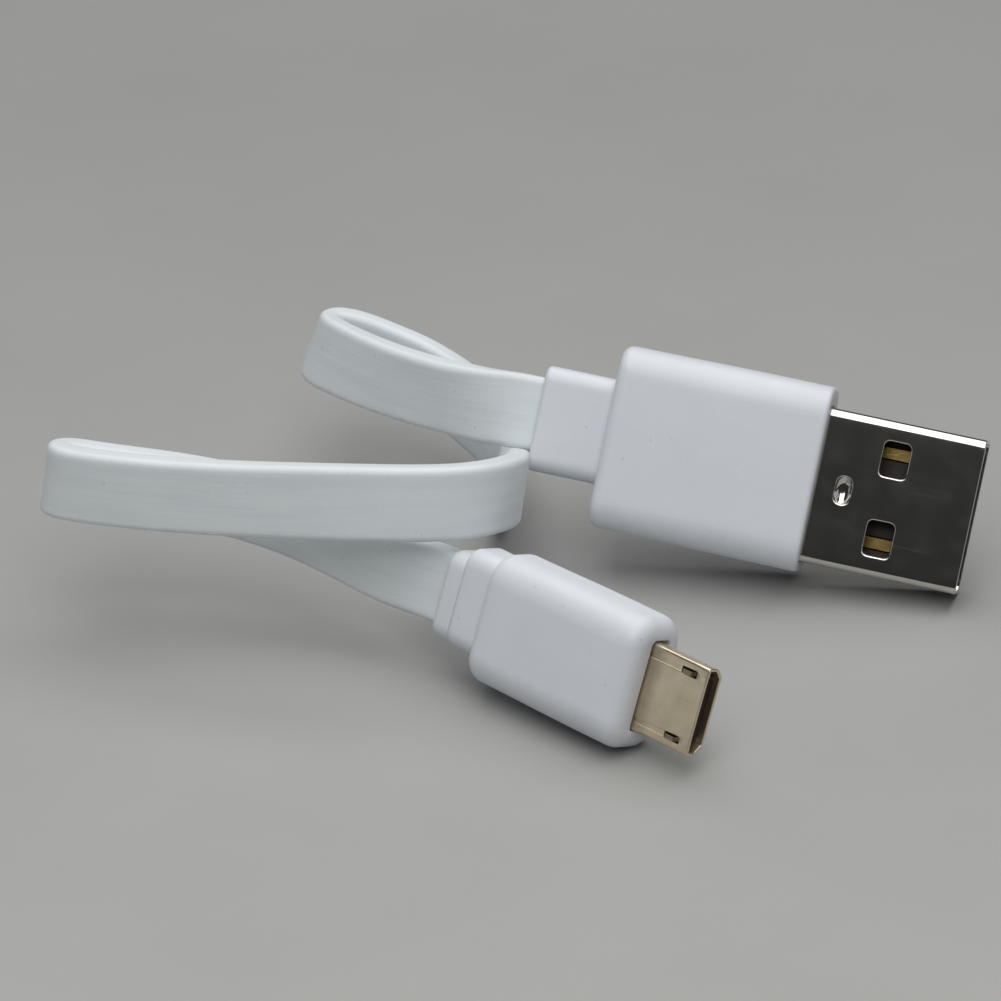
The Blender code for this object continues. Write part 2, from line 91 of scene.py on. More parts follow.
def meshFromRings(name, rings, closed=False):
    bm = bmesh.new()
    rows = [[bm.verts.new(point) for point in ring] for ring in rings]
    pairs = list(zip(rows, rows[1:]))
    if closed:
        pairs.append((rows[-1], rows[0]))
    for first, second in pairs:
        for i in range(len(first)):
            j = (i + 1) % len(first)
            bm.faces.new((first[i], first[j], second[j], second[i]))
    if not closed:
        bm.faces.new(rows[0])
        bm.faces.new(rows[-1])
    bmesh.ops.recalc_face_normals(bm, faces=bm.faces)
    mesh = bpy.data.meshes.new(name)
    bm.to_mesh(mesh)
    bm.free()
    mesh.shade_smooth()
    mesh.set_sharp_from_angle(angle=sharpAngle)
    return mesh


def ringAt(x, loop):
    return [Vector((x, y, z)) for y, z in loop]


def showPiece(name, mesh, material, replaced, matrix=None, body="cable"):
    piece = bpy.data.objects.new(name, mesh)
    bpy.context.scene.collection.objects.link(piece)
    if matrix is not None:
        piece.matrix_world = matrix
    piece.data.materials.append(material)
    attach(piece, body)
    if replaced:
        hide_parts(*replaced)
    return piece


def boxMesh(name, xs, ys, zs, radius=0.0, axis=0, steps=6):
    # a cutter, with the edges along one axis rounded
    bm = bmesh.new()
    bmesh.ops.create_cube(bm, size=1.0)
    size = Vector((xs[1] - xs[0], ys[1] - ys[0], zs[1] - zs[0]))
    middle = Vector((xs[1] + xs[0], ys[1] + ys[0], zs[1] + zs[0])) / 2
    for vert in bm.verts:
        vert.co = Vector(vert.co[i] * size[i] for i in range(3))
    if radius:
        edges = [e for e in bm.edges if abs((e.verts[0].co - e.verts[1].co).normalized()[axis]) > 0.99]
        bmesh.ops.bevel(bm, geom=edges, offset=radius, segments=steps, profile=0.5, affect="EDGES")
    for vert in bm.verts:
        vert.co += middle
    mesh = bpy.data.meshes.new(name)
    bm.to_mesh(mesh)
    bm.free()
    return mesh


def cutAway(piece, cutters, edgeRound=0.0, rounds=3):
    # cuts all the boxes out of the piece, then softens the new edges
    for number, mesh in enumerate(cutters):
        cutter = bpy.data.objects.new(f"cut_{number}", mesh)
        bpy.context.scene.collection.objects.link(cutter)
        cutter.matrix_world = piece.matrix_world
        step = piece.modifiers.new("cut", "BOOLEAN")
        step.operation = "DIFFERENCE"
        step.solver = "EXACT"
        step.object = cutter
    if edgeRound:
        step = piece.modifiers.new("softEdge", "BEVEL")
        step.width = edgeRound
        step.segments = rounds
        step.limit_method = "ANGLE"
        step.angle_limit = cutEdgeAngle
        piece.modifiers.new("evenNormals", "WEIGHTED_NORMAL")
    bpy.context.view_layer.update()
    made = bpy.data.meshes.new_from_object(piece.evaluated_get(bpy.context.evaluated_depsgraph_get()))
    for step in list(piece.modifiers):
        if step.type == "BOOLEAN":
            bpy.data.objects.remove(step.object)
    piece.modifiers.clear()
    piece.data = made


def span(middle, size):
    return (middle - size / 2, middle + size / 2)


def ease(share):
    share = min(max(share, 0.0), 1.0)
    return share * share * (3 - 2 * share)


# shared effects

def newGroup(name, inputs, outputs):
    group = bpy.data.node_groups.new(name, "ShaderNodeTree")
    for label, kind, value in inputs:
        socket = group.interface.new_socket(label, in_out="INPUT", socket_type="NodeSocket" + kind)
        socket.default_value = value
    for label, kind in outputs:
        group.interface.new_socket(label, in_out="OUTPUT", socket_type="NodeSocket" + kind)
    return group, group.nodes.new("NodeGroupInput").outputs, group.nodes.new("NodeGroupOutput").inputs


def addNode(tree, kind, **settings):
    node = tree.nodes.new("ShaderNode" + kind)
    for label, value in settings.items():
        setattr(node, label, value)
    return node


def feed(tree, source, target):
    if hasattr(source, "is_output"):
        tree.links.new(source, target)
    else:
        target.default_value = source


def mathStep(tree, operation, first, second=None, clamp=False):
    node = addNode(tree, "Math", operation=operation, use_clamp=clamp)
    feed(tree, first, node.inputs[0])
    if second is not None:
        feed(tree, second, node.inputs[1])
    return node.outputs[0]


def mixColours(tree, share, first, second):
    node = addNode(tree, "Mix", data_type="RGBA")
    feed(tree, share, node.inputs[0])
    feed(tree, first, node.inputs[6])
    feed(tree, second, node.inputs[7])
    return node.outputs[2]


def noiseValue(tree, vector, scale, detail=3.0, roughness=0.5):
    node = addNode(tree, "TexNoise")
    feed(tree, vector, node.inputs["Vector"])
    feed(tree, scale, node.inputs["Scale"])
    node.inputs["Detail"].default_value = detail
    node.inputs["Roughness"].default_value = roughness
    return node.outputs["Fac"]


def rangeOf(tree, value, low, high, toLow=0.0, toHigh=1.0):
    node = addNode(tree, "MapRange")
    for label, given in (("Value", value), ("From Min", low), ("From Max", high),
                         ("To Min", toLow), ("To Max", toHigh)):
        feed(tree, given, node.inputs[label])
    return node.outputs["Result"]


mottleShape = {"detail": 4.0, "breakUp": 0.55, "low": 0.35, "high": 0.68}


def buildMottle():
    # slow, cloudy change of tint and gloss over a moulding
    group, given, out = newGroup(
        "softMottle",
        [("Color", "Color", (0.8, 0.8, 0.8, 1)), ("Second Color", "Color", (0.7, 0.7, 0.7, 1)),
         ("Scale", "Float", 250.0), ("Amount", "Float", 0.5),
         ("Roughness", "Float", 0.4), ("Gloss Change", "Float", 0.06)],
        [("Color", "Color"), ("Roughness", "Float")],
    )
    place = addNode(group, "TexCoord").outputs["Object"]
    cloud = noiseValue(group, place, given["Scale"], mottleShape["detail"], mottleShape["breakUp"])
    cloud = rangeOf(group, cloud, mottleShape["low"], mottleShape["high"])
    share = mathStep(group, "MULTIPLY", cloud, given["Amount"])
    group.links.new(mixColours(group, share, given["Color"], given["Second Color"]), out["Color"])
    change = mathStep(group, "MULTIPLY", cloud, given["Gloss Change"])
    group.links.new(mathStep(group, "ADD", change, given["Roughness"]), out["Roughness"])
    return group


speckShape = {"inner": 0.05, "outer": 0.16, "patchScale": 420.0, "patchLow": 0.56, "patchHigh": 0.62}


def buildSpecks():
    # tiny dark motes and dust caught on the surface
    group, given, out = newGroup(
        "dustSpecks",
        [("Color", "Color", (0.8, 0.8, 0.8, 1)), ("Speck Color", "Color", (0.3, 0.3, 0.3, 1)),
         ("Scale", "Float", 900.0), ("Amount", "Float", 0.5)],
        [("Color", "Color"), ("Mask", "Float")],
    )
    place = addNode(group, "TexCoord").outputs["Object"]
    cells = addNode(group, "TexVoronoi", feature="F1")
    feed(group, place, cells.inputs["Vector"])
    feed(group, given["Scale"], cells.inputs["Scale"])
    near = rangeOf(group, cells.outputs["Distance"], speckShape["inner"], speckShape["outer"], 1.0, 0.0)
    patches = noiseValue(group, place, speckShape["patchScale"], detail=2.0)
    some = rangeOf(group, patches, speckShape["patchLow"], speckShape["patchHigh"])
    mask = mathStep(group, "MULTIPLY", mathStep(group, "MULTIPLY", near, some), given["Amount"], True)
    group.links.new(mixColours(group, mask, given["Color"], given["Speck Color"]), out["Color"])
    group.links.new(mask, out["Mask"])
    return group


def buildGrain():
    # the fine skin that a mould leaves
    group, given, out = newGroup(
        "mouldGrain",
        [("Scale", "Float", 6000.0), ("Ripple Scale", "Float", 700.0), ("Ripple", "Float", 0.6)],
        [("Height", "Float")],
    )
    place = addNode(group, "TexCoord").outputs["Object"]
    fine = noiseValue(group, place, given["Scale"], detail=2.0)
    slow = noiseValue(group, place, given["Ripple Scale"], detail=2.0)
    slow = mathStep(group, "MULTIPLY", slow, given["Ripple"])
    group.links.new(mathStep(group, "ADD", fine, slow), out["Height"])
    return group


plateShape = {
    "lineStretch": (180.0, 9000.0, 9000.0), "lineLow": 0.62, "lineHigh": 0.74,
    "smudgeScale": 520.0, "smudgeLow": 0.42, "smudgeHigh": 0.72,
    "pitScale": 5200.0, "pitLow": 0.66, "pitHigh": 0.74,
    "smudgeTint": 0.5, "pitTint": 0.35, "smudgeRough": 0.10, "lineRough": 0.12,
    "lineDepth": 0.6, "pitDepth": 0.5,
}


def buildPlateMarks():
    # hairline scratches along a metal shell, smudges and pin-prick pits in the plating
    group, given, out = newGroup(
        "plateMarks",
        [("Color", "Color", (0.7, 0.7, 0.7, 1)), ("Tarnish", "Color", (0.4, 0.38, 0.33, 1)),
         ("Roughness", "Float", 0.12), ("Scratch", "Float", 0.5), ("Smudge", "Float", 0.5)],
        [("Color", "Color"), ("Roughness", "Float"), ("Height", "Float")],
    )
    place = addNode(group, "TexCoord").outputs["Object"]
    stretch = addNode(group, "Mapping")
    stretch.inputs["Scale"].default_value = plateShape["lineStretch"]
    group.links.new(place, stretch.inputs["Vector"])
    lines = noiseValue(group, stretch.outputs["Vector"], 1.0, detail=2.0)
    lines = rangeOf(group, lines, plateShape["lineLow"], plateShape["lineHigh"])
    lines = mathStep(group, "MULTIPLY", lines, given["Scratch"])
    smudge = noiseValue(group, place, plateShape["smudgeScale"], detail=5.0, roughness=0.6)
    smudge = rangeOf(group, smudge, plateShape["smudgeLow"], plateShape["smudgeHigh"])
    smudge = mathStep(group, "MULTIPLY", smudge, given["Smudge"])
    pits = noiseValue(group, place, plateShape["pitScale"], detail=2.0)
    pits = rangeOf(group, pits, plateShape["pitLow"], plateShape["pitHigh"])
    smudgeShare = mathStep(group, "MULTIPLY", smudge, plateShape["smudgeTint"])
    tint = mixColours(group, smudgeShare, given["Color"], given["Tarnish"])
    pitShare = mathStep(group, "MULTIPLY", pits, plateShape["pitTint"])
    group.links.new(mixColours(group, pitShare, tint, given["Tarnish"]), out["Color"])
    duller = mathStep(group, "MULTIPLY", smudge, plateShape["smudgeRough"])
    rough = mathStep(group, "ADD", given["Roughness"], duller)
    scratched = mathStep(group, "MULTIPLY", lines, plateShape["lineRough"])
    group.links.new(mathStep(group, "ADD", rough, scratched), out["Roughness"])
    lineHeight = mathStep(group, "MULTIPLY", lines, -plateShape["lineDepth"])
    pitHeight = mathStep(group, "MULTIPLY", pits, plateShape["pitDepth"])
    group.links.new(mathStep(group, "SUBTRACT", lineHeight, pitHeight), out["Height"])
    return group


wearShape = {"reach": 0.05, "patchScale": 1500.0, "patchLow": 0.35, "patchHigh": 0.6}


def buildEdgeWear():
    # outer edges, where handling rubs
    group, given, out = newGroup(
        "edgeWear",
        [("Color", "Color", (0.7, 0.7, 0.7, 1)), ("Worn Color", "Color", (0.9, 0.9, 0.9, 1)),
         ("Start", "Float", 0.53), ("Amount", "Float", 0.6)],
        [("Color", "Color"), ("Mask", "Float")],
    )
    edge = addNode(group, "NewGeometry").outputs["Pointiness"]
    place = addNode(group, "TexCoord").outputs["Object"]
    top = mathStep(group, "ADD", given["Start"], wearShape["reach"])
    found = rangeOf(group, edge, given["Start"], top)
    patches = noiseValue(group, place, wearShape["patchScale"], detail=3.0)
    broken = rangeOf(group, patches, wearShape["patchLow"], wearShape["patchHigh"])
    mask = mathStep(group, "MULTIPLY", mathStep(group, "MULTIPLY", found, broken), given["Amount"], True)
    group.links.new(mixColours(group, mask, given["Color"], given["Worn Color"]), out["Color"])
    group.links.new(mask, out["Mask"])
    return group


runShape = {
    "lineAlong": 60.0, "streakAlong": 110.0, "streakAcross": 900.0, "streakLow": 0.45, "streakHigh": 0.7,
}


def buildRibbonRun():
    # faint lines that run along an extruded jacket, and slow streaks in its tint
    group, given, out = newGroup(
        "ribbonRun",
        [("Color", "Color", (0.75, 0.78, 0.78, 1)), ("Streak Color", "Color", (0.66, 0.7, 0.7, 1)),
         ("Line Scale", "Float", 2600.0), ("Streak", "Float", 0.5)],
        [("Color", "Color"), ("Height", "Float")],
    )
    along = addNode(group, "Attribute", attribute_name="along").outputs["Fac"]
    across = addNode(group, "Attribute", attribute_name="across").outputs["Fac"]
    run = addNode(group, "CombineXYZ")
    group.links.new(mathStep(group, "MULTIPLY", along, runShape["lineAlong"]), run.inputs[0])
    group.links.new(mathStep(group, "MULTIPLY", across, given["Line Scale"]), run.inputs[1])
    lines = noiseValue(group, run.outputs[0], 1.0, detail=3.0)
    wide = addNode(group, "CombineXYZ")
    group.links.new(mathStep(group, "MULTIPLY", along, runShape["streakAlong"]), wide.inputs[0])
    group.links.new(mathStep(group, "MULTIPLY", across, runShape["streakAcross"]), wide.inputs[1])
    streaks = noiseValue(group, wide.outputs[0], 1.0, detail=3.0)
    streaks = rangeOf(group, streaks, runShape["streakLow"], runShape["streakHigh"])
    share = mathStep(group, "MULTIPLY", streaks, given["Streak"])
    group.links.new(mixColours(group, share, given["Color"], given["Streak Color"]), out["Color"])
    group.links.new(lines, out["Height"])
    return group


softMottle = buildMottle()
dustSpecks = buildSpecks()
mouldGrain = buildGrain()
plateMarks = buildPlateMarks()
edgeWear = buildEdgeWear()
ribbonRun = buildRibbonRun()
print("shared effects built")


# materials

def newMaterial(name, **constants):
    made = bpy.data.materials.new(name)
    made.use_nodes = True
    shader = made.node_tree.nodes["Principled BSDF"]
    for label, value in constants.items():
        shader.inputs[label].default_value = value
    return made, made.node_tree, shader


def socketLabel(name):
    # secondColor becomes Second Color
    return "".join(" " + letter if letter.isupper() else letter for letter in name).title()


def useGroup(tree, group, **given):
    node = addNode(tree, "Group", node_tree=group)
    for name, value in given.items():
        feed(tree, value, node.inputs[socketLabel(name)])
    return node.outputs


def raiseSurface(tree, shader, height, strength, distance):
    bump = addNode(tree, "Bump")
    bump.inputs["Strength"].default_value = strength
    bump.inputs["Distance"].default_value = distance
    tree.links.new(height, bump.inputs["Height"])
    tree.links.new(bump.outputs["Normal"], shader.inputs["Normal"])


def mouldedPlastic(name, look):
    made, tree, shader = newMaterial(name, **{"IOR": 1.5, "Coat Roughness": 0.2})
    cloud = useGroup(tree, softMottle, color=look["colour"], secondColor=look["second"],
                     scale=look["cloudScale"], amount=look["cloud"],
                     roughness=look["roughness"], glossChange=look["glossChange"])
    motes = useGroup(tree, dustSpecks, color=cloud["Color"], speckColor=look["speck"],
                     scale=look["speckScale"], amount=look["specks"])
    tree.links.new(motes["Color"], shader.inputs["Base Color"])
    tree.links.new(cloud["Roughness"], shader.inputs["Roughness"])
    skin = useGroup(tree, mouldGrain, scale=look["grainScale"], rippleScale=look["rippleScale"],
                    ripple=look["ripple"])
    raiseSurface(tree, shader, skin["Height"], look["bump"], look["bumpDepth"])
    return made


plateFinish = {"wearStart": 0.54, "markDepth": 0.00001}


def platedMetal(name, look):
    made, tree, shader = newMaterial(name, **{"Metallic": 1.0})
    marks = useGroup(tree, plateMarks, color=look["colour"], tarnish=look["tarnish"],
                     roughness=look["roughness"], scratch=look["scratch"], smudge=look["smudge"])
    worn = useGroup(tree, edgeWear, color=marks["Color"], wornColor=look["worn"],
                    start=plateFinish["wearStart"], amount=look["wear"])
    tree.links.new(worn["Color"], shader.inputs["Base Color"])
    tree.links.new(marks["Roughness"], shader.inputs["Roughness"])
    raiseSurface(tree, shader, marks["Height"], look["bump"], plateFinish["markDepth"])
    return made


def ribbonJacketMaterial(look):
    satin = {"IOR": 1.48, "Sheen Weight": 0.12, "Sheen Roughness": 0.5}
    made, tree, shader = newMaterial("ribbonJacket", **satin)
    run = useGroup(tree, ribbonRun, color=look["colour"], streakColor=look["streakColour"],
                   lineScale=look["lineScale"], streak=look["streak"])
    cloud = useGroup(tree, softMottle, color=run["Color"], secondColor=look["second"],
                     scale=look["cloudScale"], amount=look["cloud"],
                     roughness=look["roughness"], glossChange=look["glossChange"])
    motes = useGroup(tree, dustSpecks, color=cloud["Color"], speckColor=look["speck"],
                     scale=look["speckScale"], amount=look["specks"])
    tree.links.new(motes["Color"], shader.inputs["Base Color"])
    tree.links.new(cloud["Roughness"], shader.inputs["Roughness"])
    skin = useGroup(tree, mouldGrain, scale=look["grainScale"], rippleScale=look["rippleScale"],
                    ripple=look["ripple"])
    lines = mathStep(tree, "MULTIPLY", run["Height"], look["lineHeight"])
    height = mathStep(tree, "ADD", lines, skin["Height"])
    raiseSurface(tree, shader, height, look["bump"], look["bumpDepth"])
    return made


whiteLook = {
    "colour": (0.74, 0.77, 0.82, 1), "second": (0.70, 0.725, 0.77, 1), "speck": (0.38, 0.38, 0.38, 1),
    "cloudScale": 260.0, "cloud": 0.5, "roughness": 0.36, "glossChange": 0.08,
    "speckScale": 1100.0, "specks": 0.45,
    "grainScale": 5200.0, "rippleScale": 420.0, "ripple": 1.2, "bump": 0.22, "bumpDepth": 0.00004,
}
ribbonLook = {
    "colour": (0.78, 0.83, 0.855, 1), "streakColour": (0.68, 0.73, 0.76, 1), "second": (0.71, 0.765, 0.79, 1),
    "speck": (0.35, 0.36, 0.36, 1), "lineScale": 2400.0, "streak": 0.5, "cloudScale": 180.0, "cloud": 0.4,
    "roughness": 0.42, "glossChange": 0.08, "speckScale": 1300.0, "specks": 0.35,
    "grainScale": 5000.0, "rippleScale": 500.0, "ripple": 0.3, "lineHeight": 2.2,
    "bump": 0.3, "bumpDepth": 0.00003,
}
nickelLook = {
    "colour": (0.66, 0.645, 0.61, 1), "tarnish": (0.36, 0.33, 0.27, 1), "worn": (0.8, 0.78, 0.72, 1),
    "roughness": 0.10, "scratch": 0.25, "smudge": 0.35, "wear": 0.4, "bump": 0.08,
}
champagneLook = {
    "colour": (0.72, 0.625, 0.47, 1), "tarnish": (0.36, 0.29, 0.19, 1), "worn": (0.74, 0.68, 0.55, 1),
    "roughness": 0.34, "scratch": 0.3, "smudge": 0.5, "wear": 0.5, "bump": 0.08,
}
goldLook = {
    "colour": (0.50, 0.35, 0.11, 1), "tarnish": (0.30, 0.18, 0.05, 1), "worn": (0.8, 0.62, 0.3, 1),
    "roughness": 0.22, "scratch": 0.5, "smudge": 0.4, "wear": 0.3, "bump": 0.2,
}
springLook = {
    "colour": (0.20, 0.17, 0.13, 1), "tarnish": (0.10, 0.08, 0.05, 1), "worn": (0.34, 0.29, 0.21, 1),
    "roughness": 0.25, "scratch": 0.6, "smudge": 0.4, "wear": 0.4, "bump": 0.25,
}


def tintedPlastic(colour, second, roughness, bump=0.2):
    look = dict(whiteLook)
    look.update(colour=(*colour, 1), second=(*second, 1), roughness=roughness, bump=bump, specks=0.2)
    return look


whitePlastic = mouldedPlastic("whitePlastic", whiteLook)
ribbonJacket = ribbonJacketMaterial(ribbonLook)
nickelPlate = platedMetal("nickelPlate", nickelLook)
champagnePlate = platedMetal("champagnePlate", champagneLook)
goldPlate = platedMetal("goldPlate", goldLook)
springSteel = platedMetal("springSteel", springLook)
carrierPlastic = mouldedPlastic(
    "carrierPlastic", tintedPlastic((0.028, 0.010, 0.010), (0.018, 0.008, 0.010), 0.42))
milkyPlastic = mouldedPlastic("milkyPlastic", tintedPlastic((0.66, 0.66, 0.60), (0.58, 0.58, 0.52), 0.55))
insulationTints = {
    "power": ("redInsulation", (0.55, 0.02, 0.02), (0.45, 0.02, 0.02)),
    "data_minus": ("whiteInsulation", (0.75, 0.75, 0.73), (0.68, 0.68, 0.66)),
    "data_plus": ("greenInsulation", (0.02, 0.30, 0.06), (0.02, 0.24, 0.05)),
    "ground": ("blackInsulation", (0.02, 0.02, 0.02), (0.03, 0.03, 0.03)),
}
coreColours = {core: mouldedPlastic(name, tintedPlastic(colour, second, 0.4))
               for core, (name, colour, second) in insulationTints.items()}
print("materials built")


def finishNode(name, material):
    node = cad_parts[name]
    node.data.materials.clear()
    node.data.materials.append(material)


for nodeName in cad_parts:
    if "contact" in nodeName:
        finishNode(nodeName, goldPlate)
    elif "latch" in nodeName:
        finishNode(nodeName, springSteel)
    elif "insulator" in nodeName:
        finishNode(nodeName, carrierPlastic)
    elif "inner_mould" in nodeName:
        finishNode(nodeName, milkyPlastic)
    elif "_core_" in nodeName:
        finishNode(nodeName, coreColours[nodeName.split("_core_")[1]])
print("inner pieces finished")

# ribbon cord
ribbon = {
    "width": 5.8 * mm, "thick": 1.8 * mm, "cornerRadius": 0.55 * mm, "ringStep": 0.4 * mm,
    "leanBase": 0.14, "leanLoop": (24 * mm, 9 * mm, 0.20), "leanFront": (72 * mm, 16 * mm, 0.20),
    "plugGrip": 9 * mm, "evenPasses": 5, "heldPoints": 24,
}
largeExit = {"offset": 0.75 * mm, "deep": -12.4 * mm, "mouth": -22.06 * mm, "straight": 1.6 * mm}
smallExit = {"offset": 0.15 * mm, "deep": -10.8 * mm, "mouth": -20.06 * mm, "straight": 1.2 * mm}
# where the cord runs between the two strain reliefs, in millimetres, from the large plug to the small one
ribbonRoute = [
    (-17.29, 18.44, 11.3), (-19.49, 19.84, 11.2), (-21.79, 21.34, 11.1), (-24.39, 23.34, 11.0),
    (-26.79, 25.54, 10.9), (-28.69, 27.64, 10.8), (-29.99, 29.34, 10.7), (-30.39, 30.64, 10.6),
    (-29.79, 31.64, 10.4), (-28.49, 31.94, 10.1), (-26.89, 31.84, 9.6), (-25.09, 31.44, 9.0),
    (-22.69, 30.54, 8.3), (-20.19, 29.54, 7.1), (-17.59, 28.64, 5.1), (-16.09, 27.14, 3.8),
    (-15.59, 24.24, 3.2), (-15.69, 21.04, 3.5), (-15.89, 17.84, 4.5), (-15.79, 14.24, 6.2),
    (-15.39, 10.44, 8.3), (-15.19, 6.64, 10.3), (-15.59, 3.04, 11.7), (-17.19, 0.24, 12.6),
    (-19.59, -1.26, 13.0), (-22.69, -1.66, 13.1), (-25.99, -1.56, 13.1), (-29.69, -1.16, 13.0),
    (-34.19, -0.26, 12.7), (-38.69, 0.64, 12.5), (-42.39, 1.44, 12.4), (-45.19, 2.24, 12.3),
    (-47.49, 3.04, 12.2), (-49.09, 3.84, 12.1), (-49.89, 4.64, 12.0), (-49.79, 5.54, 11.8),
    (-48.79, 6.24, 11.5), (-46.99, 6.64, 11.0), (-44.29, 6.84, 10.5), (-40.19, 6.94, 9.8),
    (-36.39, 6.64, 9.1), (-32.19, 5.64, 8.1), (-28.49, 3.94, 7.1), (-25.19, 2.04, 6.2),
]


def smoothPath(points, step, fineSteps=24):
    # evenly spaced points on a smooth curve through the given ones
    padded = [2 * points[0] - points[1], *points, 2 * points[-1] - points[-2]]
    fine = []
    for p0, p1, p2, p3 in zip(padded, padded[1:], padded[2:], padded[3:]):
        t1 = math.sqrt((p1 - p0).length)
        t2 = t1 + math.sqrt((p2 - p1).length)
        t3 = t2 + math.sqrt((p3 - p2).length)
        for i in range(fineSteps):
            t = t1 + (t2 - t1) * i / fineSteps
            a1, a2 = p0.lerp(p1, t / t1), p1.lerp(p2, (t - t1) / (t2 - t1))
            a3 = p2.lerp(p3, (t - t2) / (t3 - t2))
            fine.append(a1.lerp(a2, t / t2).lerp(a2.lerp(a3, (t - t1) / (t3 - t1)), (t - t1) / (t2 - t1)))
    fine.append(points[-1].copy())
    run = [0.0]
    for first, second in zip(fine, fine[1:]):
        run.append(run[-1] + (second - first).length)
    count, made, i = round(run[-1] / step), [], 0
    for k in range(count + 1):
        goal = run[-1] * k / count
        while i < len(run) - 2 and run[i + 1] < goal:
            i += 1
        made.append(fine[i].lerp(fine[i + 1], (goal - run[i]) / (run[i + 1] - run[i])))
    return made, run[-1]


def softened(points, passes, fixed):
    # evens out the bends, leaving the ends that the plugs grip
    for _ in range(passes):
        moved = [p.copy() for p in points]
        for i in range(fixed, len(points) - fixed):
            moved[i] = points[i] * 0.5 + (points[i - 1] + points[i + 1]) * 0.25
        points = moved
    return points


def gripPoints(matrix, held):
    # where a plug holds the cord, from deep inside to a little past its relief
    middle = (held["deep"] + held["mouth"]) / 2
    places = (held["deep"], middle, held["mouth"], held["mouth"] - held["straight"])
    return [matrix @ Vector((x, held["offset"], 0)) for x in places]


def freeEdge(fromMouth):
    # which way the ribbon's upper edge points where no plug holds it
    extra = [amount * math.exp(-(((fromMouth - where) / reach) ** 2))
             for where, reach, amount in (ribbon["leanLoop"], ribbon["leanFront"])]
    return Vector((ribbon["leanBase"] + extra[0], extra[1], 1)).normalized()


def buildRibbon():
    largeFrame, smallFrame = plugMatrix(largePlug), plugMatrix(smallPlug)
    start, end = gripPoints(largeFrame, largeExit), gripPoints(smallFrame, smallExit)[::-1]
    between = [Vector(point) * mm for point in ribbonRoute]
    path, total = smoothPath(start + between + end, ribbon["ringStep"])
    path = softened(path, ribbon["evenPasses"], ribbon["heldPoints"])
    grip = largeExit["deep"] - largeExit["mouth"]
    largeSide = largeFrame.to_3x3() @ Vector((0, 1, 0))
    smallSide = smallFrame.to_3x3() @ Vector((0, 1, 0))
    outline = roundedLoop(ribbon["width"], ribbon["thick"], ribbon["cornerRadius"], steps=5)
    rings, runs, acrosses = [], [], []
    for i, point in enumerate(path):
        along = total * i / (len(path) - 1)
        heading = (path[min(i + 1, len(path) - 1)] - path[max(i - 1, 0)]).normalized()
        free = freeEdge(along - grip)
        nearLarge = ease(1 - (along - grip) / ribbon["plugGrip"])
        nearSmall = ease(1 - (total - grip - along) / ribbon["plugGrip"])
        upEdge = free * (1 - nearLarge - nearSmall) + largeSide * nearLarge + smallSide * nearSmall
        upEdge = (upEdge - heading * upEdge.dot(heading)).normalized()
        outward = heading.cross(upEdge)
        rings.append([point + upEdge * y + outward * z for y, z in outline])
        runs += [along] * len(outline)
        acrosses += [y for y, z in outline]
    mesh = meshFromRings("ribbonCord", rings)
    for label, values in (("along", runs), ("across", acrosses)):
        layer = mesh.attributes.new(label, "FLOAT", "POINT")
        layer.data.foreach_set("value", values)
    piece = showPiece("ribbonCord", mesh, ribbonJacket, ["ribbon_cord"])
    print(f"ribbon cord built, {total * 1000:.0f} mm long")


buildRibbon()


# moulded housings and strain reliefs

def rearEdge(x, radius, steps=6):
    # (place, inset) pairs that turn from a rear face into the sides
    return [(x + radius * (1 - math.cos(a)), radius * (1 - math.sin(a))) for a in quarterTurn(steps)]


def frontEdge(x, radius, steps=5):
    # and from the sides into a front face
    return [(x - radius * (1 - math.sin(a)), radius * (1 - math.cos(a))) for a in quarterTurn(steps)]


housingMake = {"sections": 12, "leastRadius": 0.35 * mm, "rearMargin": 0.9 * mm, "taperStart": 4 * mm}


def buildHousing(name, plug, size, replaced):
    back = size["front"] - size["length"]
    sections, start = housingMake["sections"], housingMake["taperStart"]

    def outline(x, inset):
        inset += size["taper"] * ease((size["front"] - x - start) / (size["length"] - start))
        radius = max(size["edgeRadius"] - inset, housingMake["leastRadius"])
        return roundedLoop(size["width"] - 2 * inset, size["thick"] - 2 * inset, radius,
                           size["centre"], crown=size["crown"], partLine=size["partLine"])

    rings = [ringAt(back, outline(back, size["rearRound"] + housingMake["rearMargin"]))]
    rings += [ringAt(x, outline(x, inset)) for x, inset in rearEdge(back, size["rearRound"])]
    straight = size["length"] - size["rearRound"] - size["frontRound"]
    for i in range(1, sections):
        x = back + size["rearRound"] + straight * i / sections
        rings.append(ringAt(x, outline(x, 0)))
    rings += [ringAt(x, outline(x, inset)) for x, inset in frontEdge(size["front"], size["frontRound"])]
    # the mouth that the metal shell comes out of
    width, thick, radius = size["mouth"]
    for x, gap in ((0, size["mouthRound"]), (-0.3 * size["mouthRound"], 0.3 * size["mouthRound"]),
                   (-size["mouthRound"], 0), (-size["mouthDepth"], 0)):
        rings.append(ringAt(size["front"] + x, roundedLoop(width + 2 * gap, thick + 2 * gap, radius + gap)))
    mesh = meshFromRings(name, rings)
    showPiece(name, mesh, whitePlastic, [replaced], plugMatrix(plug))


